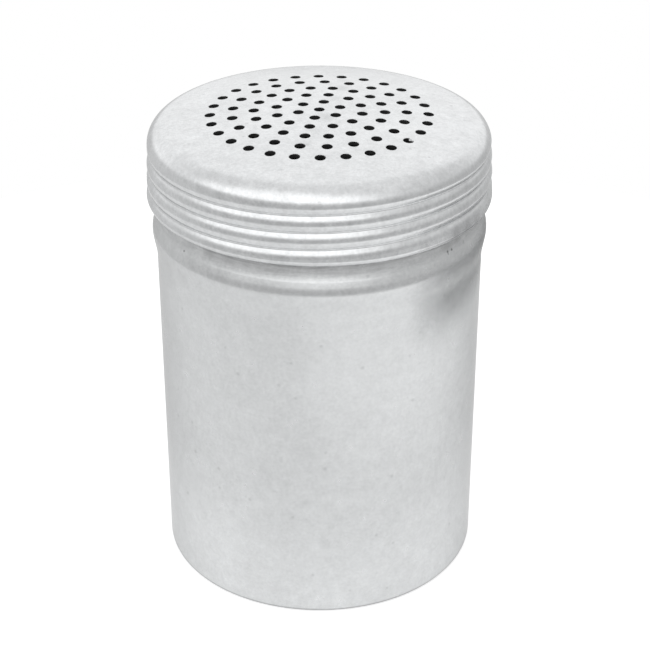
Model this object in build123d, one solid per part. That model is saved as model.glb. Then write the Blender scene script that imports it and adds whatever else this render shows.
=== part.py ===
from build123d import *
import os
from math import acos, atan2, cos, degrees, radians, sin, sqrt, tan

# Shaker can for salt or spice: a drawn aluminium can with a rolled screw neck, and a pressed screw
# lid with a perforated crown. Millimetres, +Z up, the origin at the centre of the base.

# Can: one drawn shell. Its outline runs from the base up the wall, over the swelling of the stop bead
# and in across the bead's narrow ledge to the neck. Reaches are measured from the wall.
can_height = 93.85
body_radius = 33.0
can_sheet = 0.8
base_corner = 1.0
bead_reach = 1.05
bead_drop = 4.4
bead_rise = 2.6
bead_rounding = 8.5
wall_blend = 0.5
ledge_reach = 0.45
ledge_drop = 0.5
ledge_rounding = 0.35
neck_blend = 0.4
neck_radius = 32.5
lip_chamfer = 0.3

# Screw thread, right-handed. The same trapezoid is rolled into both sheets.
thread_pitch = 3.37
thread_depth = 0.6
thread_flank = 0.95
thread_clearance = 0.15
flank_play = 0.3
groove_land = 0.3
thread_start_angle = -225.0
thread_fade = 0.125
lid_thread_turns = 2.75
neck_thread_turns = 3.2

# Lid: a pressed cap. Its shoulder seats on the can's mouth and its skirt flares a little downwards.
lid_sheet = 0.8
crown_radius = 211.0
shoulder_radius = 4.0
skirt_depth = 11.15
skirt_draft = 3.0
seat_clearance = 0.1
thread_start_rise = 0.9

# Rolled rim along the lid's lower edge, and how far it stays above the foot of the neck.
rim_height = 1.2
rim_rounding = 0.8
rim_chamfer = 0.2
rim_clearance = 0.25
rim_gap = 3.0

# Shaking holes: one in the middle, then rings at an even pitch, each with its count and first angle.
# There are 86 holes, so each punch is an octagon that measures the hole's diameter across its flats.
hole_diameter = 2.0
punch_sides = 8
ring_pitch = 4.3
hole_rings = ((6, 18.0), (12, -12.4), (18, -2.2), (21, 0.6), (28, 0.4))

# How far a thread bar runs through its wall's face at the base, and past the face at a faded end.
bury = 0.3
fade_gap = 0.05

# Radii and heights that follow from the sizes above.
neck_crest_radius = neck_radius + thread_depth
shoulder_reach = neck_crest_radius + thread_clearance + lid_sheet
shoulder_centre_radius = shoulder_reach - shoulder_radius
seat_distance = shoulder_radius - lid_sheet - seat_clearance
seat_offset = neck_radius - shoulder_centre_radius
shoulder_height = can_height - lip_chamfer - sqrt(seat_distance**2 - seat_offset**2)
crown_slope = acos(shoulder_centre_radius / (crown_radius - shoulder_radius))
crown_centre_height = shoulder_height - (crown_radius - shoulder_radius) * sin(crown_slope)
rim_bottom = shoulder_height - skirt_depth
neck_foot = rim_bottom - rim_gap
ledge_edge = neck_foot - ledge_drop
bead_height = ledge_edge - bead_rise
skirt_foot = rim_bottom + rim_height
thread_start_height = skirt_foot + thread_start_rise
engaged_flank = thread_flank * (thread_depth - thread_clearance) / thread_depth
crest_land = thread_pitch - groove_land - 2 * (engaged_flank + flank_play)


def skirt_radius(height):
    """Outside radius of the flaring skirt at a height."""
    return shoulder_reach + (shoulder_height - height) * tan(radians(skirt_draft))


def helix_edge(start, end, first_turn, last_turn):
    """Helical edge from one (radius, height) to another between two turns of the thread."""
    turns = last_turn - first_turn
    rise = end[1] - start[1]
    cone = round(atan2(end[0] - start[0], rise), 9)
    edge = Edge.make_helix(rise / turns / cos(cone), rise, start[0], angle=degrees(cone))
    return Pos(0, 0, start[1]) * Rot(0, 0, thread_start_angle + 360 * first_turn) * edge


def thread_section(wall, height, tip, base, land):
    """Corners (radius, height) of the thread's trapezoid; tip and base are offsets from the wall."""
    half_tip = land / 2
    half_base = half_tip + thread_flank * (thread_depth + bury) / thread_depth
    return [
        (wall + tip, height - half_tip),
        (wall + base, height - half_base),
        (wall + base, height + half_base),
        (wall + tip, height + half_tip),
    ]


def end_cap(section, turn):
    """Flat face that closes a thread bar at one of its ends."""
    angle = radians(thread_start_angle + 360 * turn)
    corners = [(r * cos(angle), r * sin(angle), z) for r, z in section]
    return Face(Wire.make_polygon(corners, close=True))


def thread_bar(wall_radius, outward, land, rise, turns):
    """Trapezoid bar wound along the thread, whose tip sinks behind the wall's face at both ends."""
    side = 1 if outward else -1
    stations = [
        (0, -side * fade_gap),
        (thread_fade, side * thread_depth),
        (turns - thread_fade, side * thread_depth),
        (turns, -side * fade_gap),
    ]
    rings = []
    for turn, tip in stations:
        height = thread_start_height + rise + thread_pitch * turn
        section = thread_section(wall_radius(height), height, tip, -side * bury, land)
        rings.append((turn, section))
    faces = [end_cap(rings[0][1], rings[0][0]), end_cap(rings[-1][1], rings[-1][0])]
    for (first, lower), (last, upper) in zip(rings, rings[1:]):
        edges = [helix_edge(a, b, first, last) for a, b in zip(lower, upper)]
        for edge, following in zip(edges, edges[1:] + edges[:1]):
            faces.append(Face.make_surface_from_curves(edge, following))
    return Solid(Shell(faces))


def make_can():
    """Drawn shell with its stop bead, and the neck thread rolled outwards from both faces."""
    points = [
        (0, 0, 0),
        (body_radius, 0, 0),
        (body_radius, 0, bead_height - bead_drop),
        (body_radius + bead_reach, 0, bead_height),
        (body_radius + ledge_reach, 0, ledge_edge),
        (neck_radius, 0, neck_foot),
        (neck_radius, 0, can_height),
    ]
    axis_top = (0, 0, can_height)
    roundings = [base_corner, wall_blend, bead_rounding, ledge_rounding, neck_blend]
    skin = FilletPolyline(*points, radius=roundings)
    outside = make_face([skin, Line(points[-1], axis_top), Line(axis_top, points[0])])
    crisp = FilletPolyline(*points, radius=[0, 0, bead_rounding, 0, 0])
    inside = make_face(offset(crisp, can_sheet, side=Side.RIGHT, closed=True))
    shell = revolve(outside & inside, Axis.Z)
    mouth = shell.edges().filter_by(GeomType.CIRCLE).group_by(Axis.Z)[-1]
    shell = chamfer(mouth, lip_chamfer)
    rise = -thread_pitch / 2
    ridge = thread_bar(lambda height: neck_radius, True, crest_land, rise, neck_thread_turns)
    inner = neck_radius - can_sheet
    channel = thread_bar(lambda height: inner, True, crest_land, rise, neck_thread_turns)
    return shell + ridge - channel


def hole_places():
    """Centres of the shaking holes: the middle one, then ring after ring."""
    places = [(0, 0)]
    for ring, (count, first_angle) in enumerate(hole_rings, start=1):
        for index in range(count):
            angle = radians(first_angle + 360 * index / count)
            places.append((ring * ring_pitch * cos(angle), ring * ring_pitch * sin(angle)))
    return places


def make_lid():
    """Pressed cap: perforated crown, rounded shoulder, and a skirt with the thread rolled inwards."""
    slope = degrees(crown_slope)
    with BuildLine(Plane.XZ) as outline:
        CenterArc((shoulder_centre_radius, shoulder_height), shoulder_radius, 0, slope)
        CenterArc((0, crown_centre_height), crown_radius, slope, 90 - slope)
        Line((skirt_radius(skirt_foot), skirt_foot), (shoulder_reach, shoulder_height))
    sheet = offset(outline.wire(), lid_sheet, side=Side.RIGHT, closed=True)
    cap = revolve(make_face(sheet), Axis.Z)
    groove = thread_bar(skirt_radius, False, groove_land, 0, lid_thread_turns)
    inner = lambda height: skirt_radius(height) - lid_sheet
    ridge = thread_bar(inner, False, groove_land, 0, lid_thread_turns)
    threaded = split(cap + ridge - groove, Plane.XY.offset(skirt_foot), keep=Keep.TOP)
    outline = RegularPolygon(hole_diameter / 2, punch_sides, major_radius=False)
    punch = extrude(outline, 2 * shoulder_radius)
    return threaded - [Pos(x, y, shoulder_height) * punch for x, y in hole_places()]


def make_lid_rim():
    """Rolled lower edge of the lid, which clears the neck's thread."""
    outer = skirt_radius(skirt_foot)
    inner = neck_crest_radius + rim_clearance
    blank = Cylinder(outer, rim_height, align=(Align.CENTER, Align.CENTER, Align.MIN))
    bore = Cylinder(inner, rim_height, align=(Align.CENTER, Align.CENTER, Align.MIN))
    ring = Pos(0, 0, rim_bottom) * (blank - bore)
    ring = fillet(ring.edges().group_by(Axis.Z)[0].sort_by(SortBy.RADIUS)[-1], rim_rounding)
    return chamfer(ring.edges().group_by(Axis.Z)[0].sort_by(SortBy.RADIUS)[0], rim_chamfer)


os.makedirs("parts", exist_ok=True)
export_step(make_can(), "parts/can.step")
export_step(make_lid(), "parts/lid.step")
export_step(make_lid_rim(), "parts/lid_rim.step")
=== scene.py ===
import math

import bpy
import numpy as np
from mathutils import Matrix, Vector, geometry


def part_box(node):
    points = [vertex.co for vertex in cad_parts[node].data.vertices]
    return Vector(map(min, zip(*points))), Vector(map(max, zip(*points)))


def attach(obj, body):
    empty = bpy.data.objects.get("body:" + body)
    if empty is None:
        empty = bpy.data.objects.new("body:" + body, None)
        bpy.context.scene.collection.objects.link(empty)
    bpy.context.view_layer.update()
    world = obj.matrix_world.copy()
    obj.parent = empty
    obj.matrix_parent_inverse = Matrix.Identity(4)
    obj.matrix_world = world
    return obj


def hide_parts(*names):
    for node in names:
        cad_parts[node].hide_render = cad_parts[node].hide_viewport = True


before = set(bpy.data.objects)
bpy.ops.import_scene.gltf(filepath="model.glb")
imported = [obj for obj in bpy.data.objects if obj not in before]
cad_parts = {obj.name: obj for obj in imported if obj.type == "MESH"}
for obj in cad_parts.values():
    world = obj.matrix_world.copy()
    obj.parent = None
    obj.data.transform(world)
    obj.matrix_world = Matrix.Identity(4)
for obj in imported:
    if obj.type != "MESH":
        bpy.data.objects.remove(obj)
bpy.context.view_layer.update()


# Camera: a 94 mm lens a third of a metre away. It looks down on the shaker from the front, turned a
# little to the right.
camera_place = (0, -0.3120, 0.2204)
camera_tilt = 28.70
camera_turn = -0.205
camera_data = bpy.data.cameras.new("camera")
camera_data.sensor_width = 36.0
camera_data.lens = 93.89
camera = bpy.data.objects.new("camera", camera_data)
camera.location = camera_place
camera.rotation_euler = (math.radians(90 - camera_tilt), 0, math.radians(camera_turn))
bpy.context.scene.collection.objects.link(camera)
bpy.context.scene.camera = camera
bpy.context.scene.view_settings.view_transform = "Standard"


# Can: one shell drawn from aluminium sheet, open at the top. A stop bead swells out of the wall and ends
# in a narrow ledge, and the neck above it carries the right-handed thread, rolled through the sheet.
can_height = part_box("can")[1].z
can_sheet = 0.0008
body_radius = 0.0330
base_corner = 0.0010
base_dome = 0.0006
base_dome_blend = 0.010
standing_radius = body_radius - 4 * base_corner
bead_foot = 0.0692
bead_foot_blend = 0.014
bead_height = 0.0743
bead_reach = 0.00090
bead_rounding = 0.0050
ledge_edge = 0.07648
ledge_reach = 0.00010
ledge_rounding = 0.0004
ledge_top = 0.0768
ledge_top_radius = 0.03297
ledge_top_blend = 0.0010
neck_foot = 0.0780
neck_foot_radius = 0.03250
neck_cove = 0.0120
neck_waist = 0.0799
neck_waist_radius = 0.03214
neck_thread_foot = 0.0809
neck_thread_blend = 0.0020
neck_radius = 0.0325
thread_pitch = 0.00337
thread_start_angle = math.radians(-225)
thread_start_height = 0.0824
thread_fade = 0.125
neck_ridge_depth = 0.0006
neck_ridge_half_tip = 0.0005
neck_ridge_flank = 0.00105
neck_thread_turns = 3.2

# The can's mesh: points round it, the longest span along its wall and along its neck, how close to the
# ends of a long span a point stands, steps over the mouth, and the turn that keeps an edge crisp.
can_columns = 350
wall_step = 0.004
wall_guard = 0.0006
neck_step = 0.00024
mouth_steps = 6
crease = math.radians(40)


def rounded_path(corners, radii, arc_steps=7):
    """A line through the corners, each inner one replaced by an arc of its radius that touches both runs:
    centre + radius * (cos, sin) of angles evenly spaced from one touching point to the other."""
    corners = np.array(corners, float)
    path = [corners[:1]]
    for before, here, after, radius in zip(corners, corners[1:], corners[2:], radii):
        back = (before - here) / np.linalg.norm(before - here)
        on = (after - here) / np.linalg.norm(after - here)
        half = np.arccos(np.clip(back @ on, -1, 1)) / 2
        centre = here + (back + on) / np.linalg.norm(back + on) * radius / np.sin(half)
        first = here + back * radius / np.tan(half) - centre
        last = here + on * radius / np.tan(half) - centre
        start = np.arctan2(first[1], first[0])
        sweep = np.arctan2(first[0] * last[1] - first[1] * last[0], first @ last)
        angles = start + sweep * np.linspace(0, 1, arc_steps)
        path.append(centre + radius * np.stack([np.cos(angles), np.sin(angles)], axis=1))
    return np.concatenate(path + [corners[-1:]])


def filled(path, step, guard=0.0):
    """The same line with each span cut into equal parts no longer than the step. Where a guard is given,
    a long span also gets a point that close to each end, which keeps the roundings' shading off the flat."""
    parts = []
    for a, b in zip(path, path[1:]):
        length = np.linalg.norm(b - a)
        shares = np.linspace(0, 1, max(1, math.ceil(length / step)), endpoint=False)
        if 0 < 4 * guard < length:
            shares = np.sort(np.r_[shares, guard / length, 1 - guard / length])
        parts.append(a + (b - a) * shares[:, None])
    return np.concatenate(parts + [path[-1:]])


def offset_path(path, distance):
    """The line moved sideways by a distance, to the left of its direction of travel."""
    along = np.gradient(path, axis=0)
    along /= np.linalg.norm(along, axis=1)[:, None]
    return path + distance * np.stack([-along[:, 1], along[:, 0]], axis=1)


def smooth(share):
    """Eases from 0 to 1 as the share s goes from 0 to 1: 3 s^2 - 2 s^3."""
    share = np.clip(share, 0, 1)
    return share * share * (3 - 2 * share)


def thread_place(height, angle, turns, start_height):
    """Height above the nearest turn of the thread's line, and how far the thread has grown there, 0 to 1.
    The line climbs one pitch a turn, and grows and fades over a part of a turn at its two ends."""
    round_share = np.mod((angle - thread_start_angle) / (2 * np.pi), 1)
    level = (height - start_height) / thread_pitch
    turn = round_share + np.round(level - round_share)
    growth = smooth(turn / thread_fade) * smooth((turns - turn) / thread_fade)
    return (level - turn) * thread_pitch, growth


def neck_ridge(height, angle):
    """Outward reach of the neck's thread: a flat tip with an eased flank on each side."""
    start_height = thread_start_height - thread_pitch / 2
    above, growth = thread_place(height, angle, neck_thread_turns, start_height)
    flank = (np.abs(above) - neck_ridge_half_tip) / neck_ridge_flank
    return neck_ridge_depth * growth * smooth(1 - flank)


def ring_angles(columns):
    """Angles of the columns of a wrapped grid, evenly spaced over one turn."""
    return np.arange(columns) * 2 * np.pi / columns


def wrapped_points(radius, height, angle):
    """Points (r cos a, r sin a, z) of a grid with a row for each profile point and a column for an angle."""
    x, y, z = np.broadcast_arrays(radius * np.cos(angle), radius * np.sin(angle), height)
    return np.stack([x, y, z], axis=-1).reshape(-1, 3)


def quads_between(rings, next_rings):
    """Four-sided faces that join closed rings of points to the next rings, column by column."""
    corners = [rings, np.roll(rings, -1, axis=-1), np.roll(next_rings, -1, axis=-1), next_rings]
    return np.stack(corners, axis=-1).reshape(-1, 4)


def wrapped_quads(rows, columns, first=0):
    """Four-sided faces of a wrapped grid whose points are counted row by row from the first."""
    rings = first + np.arange(rows * columns).reshape(rows, columns)
    return quads_between(rings[:-1], rings[1:])


def fan(pole, ring):
    """Three-sided faces from a pole to a closed ring of points, in the ring's direction."""
    return np.stack([np.full(len(ring), pole), ring, np.roll(ring, -1)], axis=1)


def can_outside():
    """The can's outline, as (radius, height), from the middle of its base up to its mouth: straight runs
    joined by arcs."""
    wall = rounded_path(
        [
            (0, base_dome),
            (standing_radius, 0),
            (body_radius, 0),
            (body_radius, bead_foot),
            (body_radius + bead_reach, bead_height),
            (body_radius + ledge_reach, ledge_edge),
            (ledge_top_radius, ledge_top),
            (neck_foot_radius, neck_foot),
            (neck_waist_radius, neck_waist),
            (neck_radius, neck_thread_foot),
            (neck_radius, can_height - can_sheet / 2),
        ],
        [
            base_dome_blend,
            base_corner,
            bead_foot_blend,
            bead_rounding,
            ledge_rounding,
            ledge_top_blend,
            neck_cove,
            neck_thread_blend,
            neck_thread_blend,
        ],
    )
    threaded = filled(wall[-2:], neck_step)
    return np.concatenate([filled(wall[1:-1], wall_step, wall_guard), threaded[1:]])


def can_mesh():
    """Points and sides of the can. The outline is carried up the outside, over the mouth by half a circle
    and down one sheet inwards, and turned about the axis. The thread's reach is added to each radius."""
    outside = can_outside()
    inside = offset_path(outside, can_sheet)[::-1]
    lip = can_sheet / 2
    turn = np.linspace(0, np.pi, mouth_steps + 1)[1:-1]
    mouth = np.stack([neck_radius - lip + lip * np.cos(turn), outside[-1, 1] + lip * np.sin(turn)], axis=1)
    profile = np.concatenate([outside, mouth, inside])
    rows = len(profile)
    angle = ring_angles(can_columns)
    radius, height = profile[:, :1], profile[:, 1:]
    rings = wrapped_points(radius + neck_ridge(height, angle), height, angle)
    poles = np.array([(0, 0, base_dome), (0, 0, base_dome + can_sheet)])
    wall = wrapped_quads(rows, can_columns)
    outer_faces = (len(outside) + mouth_steps) * can_columns
    first_ring = np.arange(can_columns)
    last_ring = first_ring + (rows - 1) * can_columns
    satin, dull = 0, 1
    return np.concatenate([rings, poles]), [
        (wall[:outer_faces], satin),
        (wall[outer_faces:], dull),
        (fan(rows * can_columns, first_ring[::-1]), satin),
        (fan(rows * can_columns + 1, last_ring), dull),
    ]


def mesh_object(name, points, faces):
    """An object at the origin, with its place in its mesh of points and faces."""
    mesh = bpy.data.meshes.new(name)
    mesh.from_pydata(points.tolist(), [], faces)
    piece = bpy.data.objects.new(name, mesh)
    bpy.context.scene.collection.objects.link(piece)
    return piece


def sheet_metal_piece(name, points, sides, finishes):
    """A shaded sheet-metal object. Each side is an array of faces with the number of its finish, and edges
    that turn more than the crease angle stay crisp."""
    piece = mesh_object(name, points, [face for faces, _ in sides for face in faces.tolist()])
    piece.data.shade_smooth()
    piece.data.set_sharp_from_angle(angle=crease)
    for finish in finishes:
        piece.data.materials.append(finish)
    numbers = np.repeat([number for _, number in sides], [len(faces) for faces, _ in sides])
    piece.data.polygons.foreach_set("material_index", numbers.astype(np.int32))
    return piece


def shader_node(tree, kind, **settings):
    """A node of a material or of the world, with its settings."""
    node = tree.nodes.new(kind)
    for name, value in settings.items():
        setattr(node, name, value)
    return node


def new_material(name):
    """A material with its node tree, its shader and the places on the piece that its patterns read."""
    material = bpy.data.materials.new(name)
    material.use_nodes = True
    tree = material.node_tree
    place = shader_node(tree, "ShaderNodeTexCoord").outputs["Object"]
    return material, tree, tree.nodes["Principled BSDF"], place


def noise(tree, place, scale, detail, stretch=(1, 1, 1)):
    """Noise of a scale per metre over places that are first stretched along the three axes."""
    spread = shader_node(tree, "ShaderNodeMapping")
    spread.inputs["Scale"].default_value = stretch
    tree.links.new(place, spread.inputs["Vector"])
    node = shader_node(tree, "ShaderNodeTexNoise")
    node.inputs["Scale"].default_value = scale
    node.inputs["Detail"].default_value = detail
    node.inputs["Roughness"].default_value = 0.6
    tree.links.new(spread.outputs["Vector"], node.inputs["Vector"])
    return node.outputs["Fac"]


def rescale(tree, value, low, high, least, most, curve="LINEAR"):
    """Maps the span from low to high on to the span from least to most, and holds the ends."""
    span = shader_node(tree, "ShaderNodeMapRange", interpolation_type=curve)
    tree.links.new(value, span.inputs["Value"])
    for name, number in (("From Min", low), ("From Max", high), ("To Min", least), ("To Max", most)):
        span.inputs[name].default_value = number
    return span.outputs["Result"]


def swing(tree, value, spread, middle, amount):
    """Maps noise that lies within a spread about one half on to an amount each side of a middle."""
    return rescale(tree, value, 0.5 - spread, 0.5 + spread, middle - amount, middle + amount)


def combine(tree, operation, total, *others):
    """The sum, product, smallest or greatest of some values, taken one after the other."""
    for other in others:
        node = shader_node(tree, "ShaderNodeMath", operation=operation)
        tree.links.new(total, node.inputs[0])
        tree.links.new(other, node.inputs[1])
        total = node.outputs[0]
    return total


def tint(tree, shader, colour, tone):
    """Gives the shader its colour, multiplied by the tone."""
    tinted = shader_node(tree, "ShaderNodeVectorMath", operation="SCALE")
    tinted.inputs[0].default_value = colour
    tree.links.new(tone, tinted.inputs["Scale"])
    tree.links.new(tinted.outputs["Vector"], shader.inputs["Base Color"])


def spot_tone(tree, place, centre, radius, middle):
    """The tone of a small round spot: a value in its middle that rises to 1 at its radius."""
    gap = shader_node(tree, "ShaderNodeVectorMath", operation="DISTANCE")
    tree.links.new(place, gap.inputs[0])
    gap.inputs[1].default_value = centre
    return rescale(tree, gap.outputs["Value"], radius / 4, radius, middle, 1)


# The metal's texture: each layer's scale per metre, how far it swings the tone or what tone it has at its
# strongest, and the noise from which it starts to where it is full. The grain gives the surface its tooth.
grain_scale = 1500
grain_swing = 0.055
blotch_scale = 420
blotch_swing = 0.06
cloud_scale = 60
cloud_swing = 0.04
hair_scale = 55
hair_tone = 0.975
hair_fade = (0.30, 0.36)
gleam_scale = 45
gleam_tone = 1.02
gleam_fade = (0.68, 0.72)
pit_scale = 210
pit_tone = 0.88
pit_fade = (0.05, 0.10)
streak_scale = 160
streak_least = 0.25
streak_fade = (0.40, 0.62)
roughness_swing = 0.03
tooth_strength = 0.25
tooth_height = 0.000018


def dark_band_tone(tree, height, streak, low, high, worst):
    """The tone of a streaky dark band between two heights: 1 outside it, and the worst halfway between them
    where a streak is at its densest."""
    middle = (low + high) / 2
    below = rescale(tree, height, low, middle, 0, 1)
    above = rescale(tree, height, middle, high, 1, 0)
    ragged = rescale(tree, streak, *streak_fade, streak_least, 1)
    band = combine(tree, "MULTIPLY", combine(tree, "MINIMUM", below, above), ragged)
    return rescale(tree, band, 0, 1, 1, worst)


def satin_aluminium(name, colour, edge_tone, roughness, mottle, spots, dark_bands):
    """Dull etched aluminium. Its tone is a fine grain, blotches and faint clouds added up, and the mottle
    makes the grain and blotches stronger. Dark hair scratches run round and gleaming ones across, pits and
    spots darken it, and streaky dark bands lie between heights. The edge tone is its tint at a glancing
    angle."""
    material, tree, shader, place = new_material(name)
    shader.inputs["Metallic"].default_value = 1.0
    shader.inputs["Specular Tint"].default_value = (edge_tone, edge_tone, edge_tone, 1)
    height = shader_node(tree, "ShaderNodeSeparateXYZ")
    tree.links.new(place, height.inputs[0])
    pit = shader_node(tree, "ShaderNodeTexVoronoi")
    pit.inputs["Scale"].default_value = pit_scale
    tree.links.new(place, pit.inputs["Vector"])
    grain = noise(tree, place, grain_scale, detail=2)
    blotch = noise(tree, place, blotch_scale, detail=3)
    cloud = noise(tree, place, cloud_scale, detail=3)
    hair = noise(tree, place, hair_scale, detail=2, stretch=(1, 1, 42))
    gleam = noise(tree, place, gleam_scale, detail=2, stretch=(1, 34, 1))
    streak = noise(tree, place, streak_scale, detail=4, stretch=(1, 1, 12))
    tone = combine(
        tree,
        "ADD",
        swing(tree, grain, 0.3, 0, grain_swing * mottle),
        swing(tree, blotch, 0.3, 1, blotch_swing * mottle),
        swing(tree, cloud, 0.25, 0, cloud_swing),
    )
    tone = combine(
        tree,
        "MULTIPLY",
        tone,
        rescale(tree, hair, *hair_fade, hair_tone, 1),
        rescale(tree, gleam, *gleam_fade, 1, gleam_tone),
        rescale(tree, pit.outputs["Distance"], *pit_fade, pit_tone, 1),
        combine(tree, "MULTIPLY", *[spot_tone(tree, place, *spot) for spot in spots]),
        *[dark_band_tone(tree, height.outputs["Z"], streak, *band) for band in dark_bands],
    )
    tint(tree, shader, colour, tone)
    tree.links.new(swing(tree, blotch, 0.25, roughness, roughness_swing), shader.inputs["Roughness"])
    tooth = shader_node(tree, "ShaderNodeBump")
    tooth.inputs["Strength"].default_value = tooth_strength
    tooth.inputs["Distance"].default_value = tooth_height
    tree.links.new(grain, tooth.inputs["Height"])
    tree.links.new(tooth.outputs["Normal"], shader.inputs["Normal"])
    return material


# The can's outside: satin aluminium with a few dark specks (centre, radius, tone) on its bead and neck,
# soft darker patches on the left just under the lid's foot, and a painted dark reflection there on the
# right. Its two streaky dark bands (lowest and highest place, worst tone) are painted shade just under
# the lid's foot, and a fainter darkening over the neck and its ledge.
can_spots = [
    ((0.02526, -0.02082, 0.0774), 0.00032, 0.25),
    ((0.02442, -0.02180, 0.0774), 0.00034, 0.25),
    ((0.02456, -0.02192, 0.0770), 0.00018, 0.25),
    ((-0.00405, -0.03300, 0.0715), 0.00022, 0.25),
    ((-0.02597, -0.02029, 0.0769), 0.00025, 0.25),
    # painted dark reflection on the neck's right side, just under the lid's foot
    ((0.0241, -0.0213, 0.0796), 0.0026, 0.76),
    ((0.0262, -0.0186, 0.0796), 0.0026, 0.76),
    ((0.0282, -0.0156, 0.0798), 0.0022, 0.84),
    # soft darker patches on the left, just under the lid's foot
    ((-0.0240, -0.0215, 0.0797), 0.0020, 0.88),
    ((-0.0207, -0.0247, 0.0795), 0.0022, 0.84),
    ((-0.0170, -0.0273, 0.0793), 0.0020, 0.88),
]
can_finish = satin_aluminium(
    "satin_can_aluminium",
    colour=(0.63, 0.64, 0.645),
    edge_tone=0.72,
    roughness=0.25,
    mottle=1.1,
    spots=can_spots,
    # painted shade just under the lid's foot, and a fainter darkening over the neck and its ledge
    dark_bands=[(0.0788, 0.0805, 0.35), (0.0763, 0.0801, 0.87)],
)

# The can's inside, also the lid's underside: the same dull sheet, painted dark as the shade inside the
# shaker.
inside_shade_colour = (0.20, 0.20, 0.205)
shaded_inside_finish, tree, shader, place = new_material("shade_dark_inside")
shader.inputs["Metallic"].default_value = 1.0
inside_shade_tone = swing(tree, noise(tree, place, scale=300, detail=3, stretch=(1, 1, 6)), 0.25, 1, 0.1)
tint(tree, shader, inside_shade_colour, inside_shade_tone)
tree.links.new(rescale(tree, inside_shade_tone, 0.9, 1.1, 0.5, 0.65), shader.inputs["Roughness"])

can_points, can_sides = can_mesh()
can = sheet_metal_piece("can_shell", can_points, can_sides, [can_finish, shaded_inside_finish])
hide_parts("can")
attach(can, "can")


# Lid: one aluminium pressing that screws over the neck. Its shallow crown is punched with 86 round holes,
# and its skirt is rolled into fat bands between the thread's grooves. The lowest band turns in to the foot.
lid_sheet = 0.0008
crown_radius = 0.2110
crown_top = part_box("lid")[1].z
shoulder_radius = 0.0040
shoulder_reach = 0.03405
skirt_flare = math.radians(3)
skirt_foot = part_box("lid_rim")[0].z
lid_thread_turns = 2.75
band_radius = 0.0025
groove_softness = 0.00018
foot_band_height = 0.0010
foot_band_radius = 0.0014
foot_lining_radius = 0.0333

# The holes: rings at an even pitch, each with its count and first angle, and a turned-in edge. One hole
# has a burr, a tongue of metal at an angle, that reaches across by a share of the hole's radius.
hole_radius = 0.00105
hole_edge_drop = 0.00006
ring_pitch = 0.0043
hole_rings = ((1, 0.0), (6, 18.0), (12, -12.4), (18, -2.2), (21, 0.6), (28, 0.4))
burred_hole = 83
burr_reach = 0.961
burr_angle = 0.45
burr_half_width = 0.992
burr_ease = 0.62

# The lid's mesh: points round it, rows up its skirt and shoulder, corners of a hole, rings of points
# about a hole and the space kept free about it as shares of its radius, and the crown's rings (inset,
# points, shift), which thin out inwards from its edge to an even spacing.
lid_columns = 480
skirt_rows = 90
shoulder_rows = 22
hole_corners = 24
hole_ring_shares = (1, 1.07, 1.2, 1.5)
hole_free_share = 2.0
hole_inner_share = 0.96
crown_edge_rings = ((0.00045, 240, 0.5), (0.00115, 160, 0.25))
crown_first_inset = 0.0021
crown_ring_gap = 0.00105
crown_point_gap = 0.0011
crown_least_ring = 0.001

shoulder_centre = shoulder_reach - shoulder_radius
crown_slope = math.acos(shoulder_centre / (crown_radius - shoulder_radius))
crown_centre_height = crown_top - crown_radius
shoulder_height = crown_centre_height + (crown_radius - shoulder_radius) * math.sin(crown_slope)
crown_edge = shoulder_centre + shoulder_radius * math.cos(crown_slope)


def arc_drop(radius, reach):
    """Depth below the crest of an arc at a distance along it: radius - sqrt(radius^2 - reach^2)."""
    return radius - np.sqrt(radius**2 - reach**2)


def band_relief(height, angle):
    """Inward depth of the skirt between the crests of its bands: each band is an arc across one pitch,
    and the arcs meet in a narrow groove whose sharp bottom is eased by a hyperbola. Below the lowest
    crest an arc of its own turns the skirt in to the foot, and the deeper of the two counts."""
    above, growth = thread_place(height, angle, lid_thread_turns, thread_start_height)
    from_crest = np.maximum(thread_pitch / 2 - np.hypot(above, groove_softness), 0)
    below_band = np.clip(skirt_foot + foot_band_height - height, 0, foot_band_height)
    return np.maximum(growth * arc_drop(band_radius, from_crest), arc_drop(foot_band_radius, below_band))


def lid_outside():
    """The lid's outline over the crests of its bands, as (radius, height), from its foot to the crown's
    edge: a straight skirt that flares downwards, and the shoulder's arc."""
    skirt_height = np.linspace(skirt_foot, shoulder_height, skirt_rows)
    skirt_reach = shoulder_reach + (shoulder_height - skirt_height) * math.tan(skirt_flare)
    slope = np.linspace(0, crown_slope, shoulder_rows)[1:]
    reach = np.concatenate([skirt_reach, shoulder_centre + shoulder_radius * np.cos(slope)])
    height = np.concatenate([skirt_height, shoulder_height + shoulder_radius * np.sin(slope)])
    return np.stack([reach, height], axis=1)


def hole_centres():
    """Centres of the holes seen from above, ring after ring: a whole number of pitches * (cos, sin)."""
    rings = []
    for ring, (count, first_angle) in enumerate(hole_rings):
        angle = np.radians(first_angle) + np.arange(count) * 2 * np.pi / count
        rings.append(ring * ring_pitch * np.stack([np.cos(angle), np.sin(angle)], axis=1))
    return np.concatenate(rings)


def ring_of(radius, count, shift=0.0):
    """A ring of evenly spaced points about the axis seen from above, turned by a shift of their spacing."""
    angle = (np.arange(count) + shift) * 2 * np.pi / count
    return radius * np.stack([np.cos(angle), np.sin(angle)], axis=1)


def nearest(places, centres):
    """Distance from each place to the nearest of the centres."""
    return np.linalg.norm(places[:, None, :] - centres[None, :, :], axis=2).min(axis=1)


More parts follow.
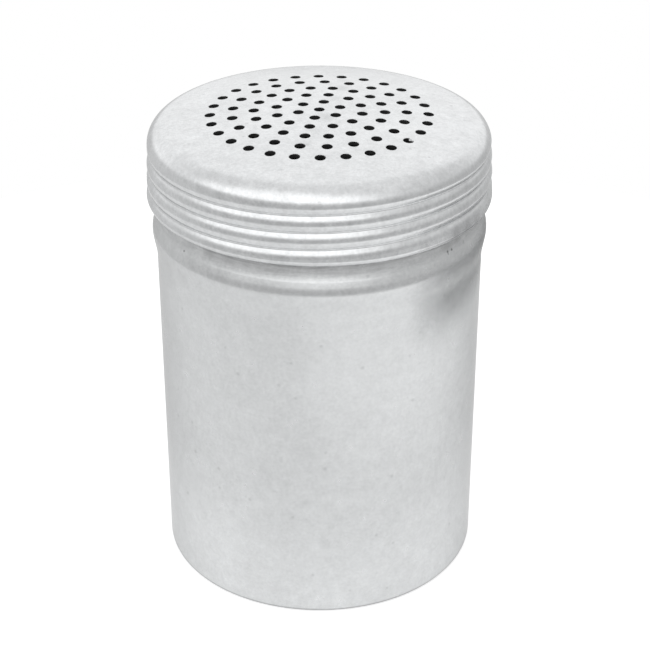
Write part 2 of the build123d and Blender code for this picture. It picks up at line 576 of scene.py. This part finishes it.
def crown_points(centres):
    """Points of the crown seen from above: its edge, then the rings about the holes, then rings about the
    axis, without the points that come too close to a hole."""
    edge = ring_of(crown_edge, lid_columns)
    corners = ring_of(hole_radius, hole_corners)
    around = [(centres[:, None, :] + corners * share).reshape(-1, 2) for share in hole_ring_shares]
    fill = [ring_of(crown_edge - inset, count, shift) for inset, count, shift in crown_edge_rings]
    reaches = np.arange(crown_edge - crown_first_inset, crown_least_ring, -crown_ring_gap)
    for index, reach in enumerate(reaches):
        count = max(8, round(2 * np.pi * reach / crown_point_gap))
        fill.append(ring_of(reach, count, 0.5 * (index % 2)))
    fill = np.concatenate(fill)
    free = nearest(fill, centres) > hole_free_share * hole_radius
    return np.concatenate([edge, *around, fill[free]])


def crown_plan():
    """Points and triangles of the punched crown seen from above, and the numbers of each hole's corners.
    The triangles keep to the holes' edges, none lies in a hole, and all are turned to face up."""
    centres = hole_centres()
    plan = crown_points(centres)
    loops = lid_columns + np.arange(len(centres) * hole_corners).reshape(-1, hole_corners)
    hole_edges = np.stack([loops, np.roll(loops, -1, axis=1)], axis=-1).reshape(-1, 2)
    found = geometry.delaunay_2d_cdt(plan.tolist(), hole_edges.tolist(), [], 0, 1e-9, True)
    source = np.array([ids[0] for ids in found[3]])
    triangles = source[np.array(found[2])]
    outside_holes = nearest(plan[triangles].mean(axis=1), centres) >= hole_inner_share * hole_radius
    triangles = triangles[outside_holes]
    a, b, c = (plan[triangles[:, k]] for k in range(3))
    turned = (b[:, 0] - a[:, 0]) * (c[:, 1] - a[:, 1]) - (b[:, 1] - a[:, 1]) * (c[:, 0] - a[:, 0]) < 0
    triangles[turned] = triangles[turned][:, ::-1]
    return plan, triangles, loops


def draw_burr(plan, corners):
    """Draws one hole's corners towards its middle, most at the burr's angle and eased out to each side."""
    aside = np.abs(ring_angles(hole_corners) - burr_angle)
    tongue = smooth((burr_half_width - aside) / burr_ease)
    centre = plan[corners].mean(axis=0)
    plan[corners] = centre + (plan[corners] - centre) * (1 - burr_reach * tongue)[:, None]


def crown_faces(plan, loops):
    """The crown's face and its underside. The face is a part of a ball, height = centre + sqrt(R^2 - r^2),
    lower at the holes' edges. The underside lies one sheet in, towards the ball's centre."""
    drop = np.zeros(len(plan))
    drop[loops] = hole_edge_drop
    drop[loops + loops.size] = hole_edge_drop / 4
    reach = np.linalg.norm(plan, axis=1)
    height = crown_centre_height + np.sqrt(crown_radius**2 - reach**2)
    face = np.column_stack([plan, height - drop])
    outward = (face - (0, 0, crown_centre_height)) / crown_radius
    return face, face - lid_sheet * outward


def lid_lining(outside, angle):
    """The inner wall from the shoulder down to the foot: the outline one sheet in, with every third row of
    the skirt and every second of the shoulder. By the foot it stands clear of the neck's thread."""
    kept = np.unique(np.r_[0:skirt_rows:3, skirt_rows - 1 : len(outside) - 1 : 2])
    inside = offset_path(outside, lid_sheet)[kept][::-1]
    radius = inside[:, :1] - band_relief(inside[:, 1:], angle)
    by_foot = inside[:, 1:] < skirt_foot + foot_band_height
    radius = np.where(by_foot, np.maximum(radius, foot_lining_radius), radius)
    return wrapped_points(radius, inside[:, 1:], angle), len(inside)


def lid_mesh():
    """Points and sides of the lid: the outside wall, the punched crown, the holes' walls, and the same
    crown and wall again one sheet inwards, closed by the flat foot."""
    angle = ring_angles(lid_columns)
    outside = lid_outside()
    wall = wrapped_points(outside[:, :1] - band_relief(outside[:, 1:], angle), outside[:, 1:], angle)
    plan, triangles, loops = crown_plan()
    draw_burr(plan, loops[burred_hole])
    face, under = crown_faces(plan, loops)
    lining, lining_rows = lid_lining(outside, angle)
    face_first = len(wall) - lid_columns
    under_first = face_first + len(face)
    lining_first = under_first + len(under)
    hole_top = loops + face_first
    hole_foot = loops + under_first
    hole = [hole_top, hole_foot, np.roll(hole_foot, -1, axis=1), np.roll(hole_top, -1, axis=1)]
    ring = np.arange(lid_columns)
    foot_ring = ring + lining_first + (lining_rows - 1) * lid_columns
    satin, dull, hole_shade = 0, 1, 2
    return np.concatenate([wall[:face_first], face, under, lining]), [
        (wrapped_quads(len(outside), lid_columns), satin),
        (triangles + face_first, satin),
        # the holes' walls carry painted shade
        (np.stack(hole, axis=-1).reshape(-1, 4), hole_shade),
        (triangles[:, ::-1] + under_first, dull),
        (quads_between(ring + under_first, ring + lining_first), dull),
        (wrapped_quads(lining_rows, lid_columns, lining_first), dull),
        (quads_between(foot_ring, ring), satin),
    ]


# The lid's outside: satin aluminium with smudges about the holes in the crown and one speck, a painted
# dark reflection on the right of its lowest band, and a streaky band of painted shade along the foot.
lid_spots = [
    ((0.0052, 0.0180, 0.0970), 0.0016, 0.88),
    ((0.0045, 0.0128, 0.0974), 0.0024, 0.84),
    ((0.0032, 0.0062, 0.0977), 0.0026, 0.92),
    ((0.0010, -0.0040, 0.0978), 0.0028, 0.86),
    ((-0.0003, -0.0105, 0.0976), 0.0026, 0.92),
    ((-0.0028, -0.0160, 0.0972), 0.0028, 0.94),
    ((0.0205, -0.0195, 0.0961), 0.0003, 0.5),
    # painted dark reflection on the right of the lowest band
    ((0.0259, -0.0229, 0.0815), 0.0026, 0.70),
    ((0.0283, -0.0199, 0.0815), 0.0026, 0.70),
    ((0.0302, -0.0168, 0.0818), 0.0022, 0.80),
]
lid_finish = satin_aluminium(
    "satin_lid_aluminium",
    colour=(0.66, 0.67, 0.677),
    edge_tone=0.84,
    roughness=0.24,
    mottle=1.6,
    spots=lid_spots,
    # painted shade along the foot
    dark_bands=[(0.0800, 0.0813, 0.75)],
)

# The holes' walls: the punched edge of the sheet, painted black as the shade down the holes.
hole_shade_colour = (0.022, 0.022, 0.022)
hole_shade_finish, tree, shader, place = new_material("shade_black_hole_wall")
shader.inputs["Specular IOR Level"].default_value = 0.2
hole_shade_tone = swing(tree, noise(tree, place, scale=900, detail=3), 0.2, 1, 0.4)
tint(tree, shader, hole_shade_colour, hole_shade_tone)
tree.links.new(rescale(tree, hole_shade_tone, 0.6, 1.4, 0.7, 0.9), shader.inputs["Roughness"])

lid_points, lid_sides = lid_mesh()
lid = sheet_metal_piece("lid_cap", lid_points, lid_sides, [lid_finish, shaded_inside_finish, hole_shade_finish])
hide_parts("lid", "lid_rim")
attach(lid, "lid")


# Table: a round white turntable, wider than the view, just under the base. The metal mirrors it with a
# painted glow that only reflections see: a pale ring that is brightest by the base, a painted pool of light
# at the front right, and no glow under the base.
table_radius = 0.20
table_corners = 96
table_drop = 0.00002
table_colour = (0.56, 0.56, 0.56, 1)
table_camera_glow = 0.62
ring_reach = (0.034, 0.080)
ring_glow = (0.60, 0.395)
base_shade_reach = (0.0320, 0.0339)
pool_direction = (0.75, -0.66, 0)
pool_reach = (0.05, 0.13)
pool_glow = 0.19


def reach_along(tree, place, direction):
    """How far a place or a heading reaches along a direction: their dot product."""
    share = shader_node(tree, "ShaderNodeVectorMath", operation="DOT_PRODUCT")
    tree.links.new(place, share.inputs[0])
    share.inputs[1].default_value = direction
    return share.outputs["Value"]


table_rim = wrapped_points(table_radius, -table_drop, ring_angles(table_corners))
table = mesh_object("table", table_rim, [list(range(table_corners))])
table_material, tree, shader, place = new_material("white_table")
shader.inputs["Base Color"].default_value = table_colour
shader.inputs["Roughness"].default_value = 0.9
shader.inputs["Specular IOR Level"].default_value = 0.0
from_axis = shader_node(tree, "ShaderNodeVectorMath", operation="LENGTH")
tree.links.new(place, from_axis.inputs[0])
ring = rescale(tree, from_axis.outputs["Value"], *ring_reach, *ring_glow, "SMOOTHSTEP")
pool = rescale(tree, reach_along(tree, place, pool_direction), *pool_reach, 0, pool_glow)
past_base = rescale(tree, from_axis.outputs["Value"], *base_shade_reach, 0, 1, "SMOOTHSTEP")
ray = shader_node(tree, "ShaderNodeLightPath")
mirrored = combine(tree, "MAXIMUM", ray.outputs["Is Glossy Ray"], ray.outputs["Is Transmission Ray"])
mirrored_glow = combine(tree, "MULTIPLY", mirrored, past_base, combine(tree, "ADD", ring, pool))
table_glow = shader_node(tree, "ShaderNodeMath", operation="MULTIPLY_ADD")
table_glow.inputs[1].default_value = table_camera_glow
tree.links.new(ray.outputs["Is Camera Ray"], table_glow.inputs[0])
tree.links.new(mirrored_glow, table_glow.inputs[2])
glow = shader_node(tree, "ShaderNodeEmission")
glow.inputs["Color"].default_value = (1, 1, 1, 1)
tree.links.new(table_glow.outputs[0], glow.inputs["Strength"])
lit_and_glowing = shader_node(tree, "ShaderNodeAddShader")
tree.links.new(shader.outputs[0], lit_and_glowing.inputs[0])
tree.links.new(glow.outputs[0], lit_and_glowing.inputs[1])
tree.links.new(lit_and_glowing.outputs[0], tree.nodes["Material Output"].inputs["Surface"])
table.data.materials.append(table_material)


# Flag: a small curved grey card that hangs close by the shaker on the right and shades it there. The
# camera doesn't see it, and its ends and its lower and upper edges fade out.
flag_radius = 0.050
flag_foot_height = 0.041
flag_top = 0.074
flag_first_angle = -44
flag_last_angle = 42
flag_columns = 60
flag_colour = (0.70, 0.70, 0.70, 1)
near_fade = (-0.040, -0.018)
near_cover = 0.85
far_fade = (0.008, 0.028)
far_cover = 0.75
low_fade = (0.046, 0.055)
high_fade = (0.066, 0.074)

flag_angle = np.radians(np.linspace(flag_first_angle, flag_last_angle, flag_columns))
flag_height = np.array([[flag_foot_height], [flag_top]])
flag_steps = np.arange(flag_columns - 1)
flag_corners = [flag_steps + 1, flag_steps, flag_steps + flag_columns, flag_steps + flag_columns + 1]
flag_points = wrapped_points(flag_radius, flag_height, flag_angle)
flag = mesh_object("flag", flag_points, np.stack(flag_corners, axis=1).tolist())
flag_material, tree, shader, place = new_material("grey_card")
shader.inputs["Base Color"].default_value = flag_colour
shader.inputs["Roughness"].default_value = 0.9
card_place = shader_node(tree, "ShaderNodeSeparateXYZ")
tree.links.new(place, card_place.inputs[0])
near_end = rescale(tree, card_place.outputs["Y"], *near_fade, 0, near_cover)
far_end = rescale(tree, card_place.outputs["Y"], *far_fade, 1, far_cover)
low_edge = rescale(tree, card_place.outputs["Z"], *low_fade, 0, 1)
high_edge = rescale(tree, card_place.outputs["Z"], *high_fade, 1, 0)
cover = combine(tree, "MULTIPLY", near_end, combine(tree, "MULTIPLY", low_edge, high_edge), far_end)
tree.links.new(cover, shader.inputs["Alpha"])
flag.data.materials.append(flag_material)
flag.visible_camera = False


# Light: an even pale studio that is dim at the level of the table, with a brighter backcloth behind and a
# broad softbox in front, above the camera and a little to the left. The camera itself sees plain white.

# Levels are (sine of the elevation, brightness) pairs. A fade holds the shares along a direction where it
# starts and ends, and each of the sides is a direction, its fade and the brightness at its end.
wall_levels = [(0.0, 0.73), (0.14, 0.87), (0.30, 1.0), (1.0, 1.0)]
backcloth_levels = [(0.0, 0.80), (0.05, 1.0), (0.11, 1.40), (0.24, 1.30), (0.55, 1.23), (1.0, 1.0)]
softbox_levels = [(0.0, 0.61), (0.09, 0.68), (0.17, 0.84), (0.22, 1.02), (0.29, 1.62), (1.0, 1.62)]
backcloth_direction = (0, 1, 0)
backcloth_fade = (0.25, 0.75)
softbox_direction = (-0.38, -0.925, 0)
softbox_fade = (0.18, 0.78)
sides = [
    ((1, 0, 0), (0.2, 0.9), 0.84),
    ((-1, 0, 0), (0.05, 0.5), 0.93),
    ((-1, 0, -0.5), (0.35, 0.95), 1.12),
]


def world_ramp(tree, rise, levels):
    """The brightness at a height of a heading, between the levels given for some heights."""
    ramp = shader_node(tree, "ShaderNodeValToRGB")
    points = ramp.color_ramp.elements
    while len(points) < len(levels):
        points.new(0.5)
    for point, (height, brightness) in zip(points, levels):
        point.position = height
        point.color = (brightness, brightness, brightness, 1)
    tree.links.new(rise, ramp.inputs["Fac"])
    return ramp.outputs["Color"]


def toward(tree, heading, direction, fade, least, most):
    """Eases from least to most as a heading's share along a direction grows across the fade."""
    return rescale(tree, reach_along(tree, heading, direction), *fade, least, most, "SMOOTHSTEP")


def blended(tree, share, first, second):
    """The first colour where the share is 0 and the second where it is 1."""
    mix = shader_node(tree, "ShaderNodeMix", data_type="RGBA")
    tree.links.new(share, mix.inputs["Factor"])
    tree.links.new(first, mix.inputs["A"])
    tree.links.new(second, mix.inputs["B"])
    return mix.outputs["Result"]


world = bpy.data.worlds.new("studio")
bpy.context.scene.world = world
world.use_nodes = True
tree = world.node_tree
heading = shader_node(tree, "ShaderNodeTexCoord").outputs["Generated"]
rise = shader_node(tree, "ShaderNodeSeparateXYZ")
tree.links.new(heading, rise.inputs[0])
walls = world_ramp(tree, rise.outputs["Z"], wall_levels)
backcloth = world_ramp(tree, rise.outputs["Z"], backcloth_levels)
softbox = world_ramp(tree, rise.outputs["Z"], softbox_levels)
room = blended(tree, toward(tree, heading, backcloth_direction, backcloth_fade, 0, 1), walls, backcloth)
room = blended(tree, toward(tree, heading, softbox_direction, softbox_fade, 0, 1), room, softbox)
strengths = [toward(tree, heading, direction, fade, 1, full) for direction, fade, full in sides]
studio = tree.nodes["Background"]
tree.links.new(room, studio.inputs["Color"])
tree.links.new(combine(tree, "MULTIPLY", *strengths), studio.inputs["Strength"])
backdrop = shader_node(tree, "ShaderNodeBackground")
backdrop.inputs["Color"].default_value = (1, 1, 1, 1)
backdrop.inputs["Strength"].default_value = 1.0
ray = shader_node(tree, "ShaderNodeLightPath")
seen = shader_node(tree, "ShaderNodeMixShader")
tree.links.new(ray.outputs["Is Camera Ray"], seen.inputs["Fac"])
tree.links.new(studio.outputs[0], seen.inputs[1])
tree.links.new(backdrop.outputs[0], seen.inputs[2])
tree.links.new(seen.outputs[0], tree.nodes["World Output"].inputs["Surface"])
